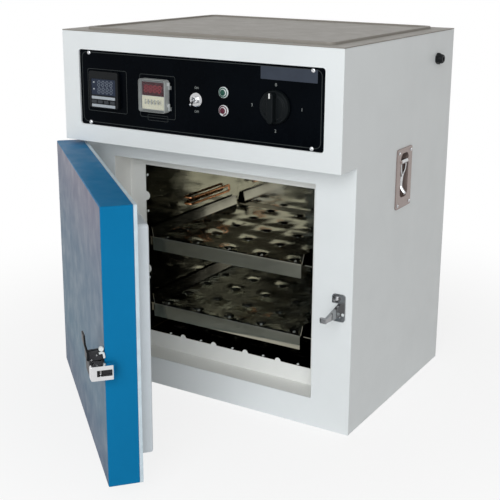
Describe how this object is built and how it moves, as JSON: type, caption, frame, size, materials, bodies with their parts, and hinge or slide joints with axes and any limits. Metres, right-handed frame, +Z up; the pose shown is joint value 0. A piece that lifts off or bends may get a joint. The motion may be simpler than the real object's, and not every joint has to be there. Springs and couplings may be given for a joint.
{
  "type": "laboratory hot-air oven",
  "caption": "Bench hot-air oven with a blue insulated door ajar, perforated steel trays, a black control panel in an overhanging head and carrying handles on its sides.",
  "frame": {"origin": "middle of the cabinet's underside, which rests on the bench", "axes": "+X to the right seen from the front, +Y from the door towards the back, +Z up"},
  "size_m": [0.6011, 0.8294, 0.6725],
  "materials": {
    "white_paint": "smooth semi-gloss powder coat",
    "blue_paint": "smooth gloss powder coat",
    "zinc_plate": "zinc plated, matt",
    "polished_steel": "mirror-polished stainless sheet",
    "satin_steel": "satin stainless",
    "chrome": "bright plated",
    "cast_zinc": "dark satin casting",
    "heater_sheath": "dull sheathed element",
    "copper": "bare copper",
    "mineral_wool": "matted fibre",
    "panel_black": "glossy black",
    "black_plastic": "fine satin",
    "grey_plastic": "satin",
    "cream_plastic": "satin",
    "clear_plastic": "clear, polished",
    "lens_green": "glossy translucent",
    "lens_red": "glossy translucent",
    "silicone": "matt"
  },
  "bodies": {
    "cabinet": {"right_side_panel": "white_paint", "left_side_panel": "white_paint", "back_panel": "white_paint", "base_pan": "zinc_plate", "top_cover": "white_paint", "front_frame": "white_paint", "door_recess": "white_paint", "head_fascia": "white_paint", "head_floor": "white_paint", "chamber_left_wall": "polished_steel", "chamber_right_wall": "polished_steel", "chamber_back_wall": "polished_steel", "chamber_roof": "polished_steel", "chamber_floor": "polished_steel", "heater_pan": "zinc_plate", "heater_element": "heater_sheath", "thermostat_bulb": "copper", "insulation": "mineral_wool", "upper_left_runner": "polished_steel", "upper_right_runner": "polished_steel", "lower_left_runner": "polished_steel", "lower_right_runner": "polished_steel", "control_panel": "panel_black", "temperature_controller": "black_plastic", "timer": "grey_plastic", "toggle_switch": "chrome", "green_pilot_lamp": "lens_green", "red_pilot_lamp": "lens_red", "heat_switch": "black_plastic", "cable_gland": "black_plastic", "right_handle_plate": "satin_steel", "left_handle_plate": "satin_steel", "upper_hinge_fixed_leaf": "zinc_plate", "lower_hinge_fixed_leaf": "zinc_plate", "latch_strike": "chrome"},
    "door": {"door_shell": "blue_paint", "door_inner_pan": "satin_steel", "door_gasket": "silicone", "door_insulation": "mineral_wool", "upper_hinge_door_leaf": "zinc_plate", "lower_hinge_door_leaf": "zinc_plate", "latch_housing": "cast_zinc"},
    "latch_lever": {"latch_lever": "chrome"},
    "latch_bolt": {"latch_bolt": "chrome"},
    "upper_tray": {"upper_tray": "polished_steel"},
    "lower_tray": {"lower_tray": "polished_steel"},
    "timer_cover": {"timer_cover": "clear_plastic"},
    "toggle_lever": {"toggle_lever": "chrome"},
    "heat_switch_knob": {"heat_switch_knob": "black_plastic"},
    "right_handle_grip": {"right_handle_grip": "chrome"},
    "left_handle_grip": {"left_handle_grip": "chrome"},
    "controller_key_1": {"controller_key_1": "grey_plastic"},
    "controller_key_2": {"controller_key_2": "grey_plastic"},
    "controller_key_3": {"controller_key_3": "grey_plastic"},
    "controller_key_4": {"controller_key_4": "grey_plastic"},
    "timer_thumbwheel_1": {"timer_thumbwheel_1": "cream_plastic"},
    "timer_thumbwheel_2": {"timer_thumbwheel_2": "cream_plastic"},
    "timer_thumbwheel_3": {"timer_thumbwheel_3": "cream_plastic"},
    "timer_thumbwheel_4": {"timer_thumbwheel_4": "cream_plastic"},
    "timer_thumbwheel_5": {"timer_thumbwheel_5": "cream_plastic"}
  },
  "joints": [
    {"name": "door_hinge", "type": "hinge", "parent": "cabinet", "child": "door", "pos_m": [-0.29, -0.214, 0.25], "axis": [0, 0, -1], "range_deg": [-41.4, 138.6]},
    {"name": "latch_lever_pivot", "type": "hinge", "parent": "door", "child": "latch_lever", "pos_m": [0.06458, -0.58527, 0.245], "axis": [0.6613, 0.7501, 0], "range_deg": [0, 25]},
    {"name": "latch_bolt_slide", "type": "slide", "parent": "door", "child": "latch_bolt", "axis": [-0.7501, 0.6613, 0], "range_m": [0, 0.0105], "stiffness_N_per_m": 500},
    {"name": "upper_tray_slide", "type": "slide", "parent": "cabinet", "child": "upper_tray", "axis": [0, -1, 0], "range_m": [0, 0.114]},
    {"name": "lower_tray_slide", "type": "slide", "parent": "cabinet", "child": "lower_tray", "axis": [0, -1, 0], "range_m": [0, 0.114]},
    {"name": "timer_cover_hinge", "type": "hinge", "parent": "cabinet", "child": "timer_cover", "pos_m": [-0.0476, -0.2616, 0.566], "axis": [0, 0, 1], "range_deg": [0, 110]},
    {"name": "toggle_pivot", "type": "hinge", "parent": "cabinet", "child": "toggle_lever", "pos_m": [0.00594, -0.2619, 0.5655], "axis": [-1, 0, 0], "range_deg": [0, 50]},
    {"name": "heat_knob_turn", "type": "hinge", "parent": "cabinet", "child": "heat_switch_knob", "pos_m": [0.15851, -0.2583, 0.5668], "axis": [0, 1, 0], "range_deg": [0, 270]},
    {"name": "right_grip_pivot", "type": "hinge", "parent": "cabinet", "child": "right_handle_grip", "pos_m": [0.2795, -0.013, 0.4495], "axis": [0, -1, 0], "range_deg": [0, 90]},
    {"name": "left_grip_pivot", "type": "hinge", "parent": "cabinet", "child": "left_handle_grip", "pos_m": [-0.2795, -0.013, 0.4495], "axis": [0, 1, 0], "range_deg": [0, 90]},
    {"name": "controller_key_1_press", "type": "slide", "parent": "cabinet", "child": "controller_key_1", "axis": [0, 1, 0], "range_m": [0, 0.0008], "stiffness_N_per_m": 800},
    {"name": "controller_key_2_press", "type": "slide", "parent": "cabinet", "child": "controller_key_2", "axis": [0, 1, 0], "range_m": [0, 0.0008], "stiffness_N_per_m": 800},
    {"name": "controller_key_3_press", "type": "slide", "parent": "cabinet", "child": "controller_key_3", "axis": [0, 1, 0], "range_m": [0, 0.0008], "stiffness_N_per_m": 800},
    {"name": "controller_key_4_press", "type": "slide", "parent": "cabinet", "child": "controller_key_4", "axis": [0, 1, 0], "range_m": [0, 0.0008], "stiffness_N_per_m": 800},
    {"name": "timer_thumbwheel_1_turn", "type": "hinge", "parent": "cabinet", "child": "timer_thumbwheel_1", "pos_m": [-0.09155, -0.2589, 0.555], "axis": [1, 0, 0], "range_deg": [0, 324]},
    {"name": "timer_thumbwheel_2_turn", "type": "hinge", "parent": "cabinet", "child": "timer_thumbwheel_2", "pos_m": [-0.08475, -0.2589, 0.555], "axis": [1, 0, 0], "range_deg": [0, 324]},
    {"name": "timer_thumbwheel_3_turn", "type": "hinge", "parent": "cabinet", "child": "timer_thumbwheel_3", "pos_m": [-0.07795, -0.2589, 0.555], "axis": [1, 0, 0], "range_deg": [0, 324]},
    {"name": "timer_thumbwheel_4_turn", "type": "hinge", "parent": "cabinet", "child": "timer_thumbwheel_4", "pos_m": [-0.07115, -0.2589, 0.555], "axis": [1, 0, 0], "range_deg": [0, 324]},
    {"name": "timer_thumbwheel_5_turn", "type": "hinge", "parent": "cabinet", "child": "timer_thumbwheel_5", "pos_m": [-0.06435, -0.2589, 0.555], "axis": [1, 0, 0], "range_deg": [0, 324]}
  ],
  "couplings": [
    {"joint": "latch_lever_pivot", "follows": "latch_bolt_slide", "rad_per_m": 41.5}
  ]
}
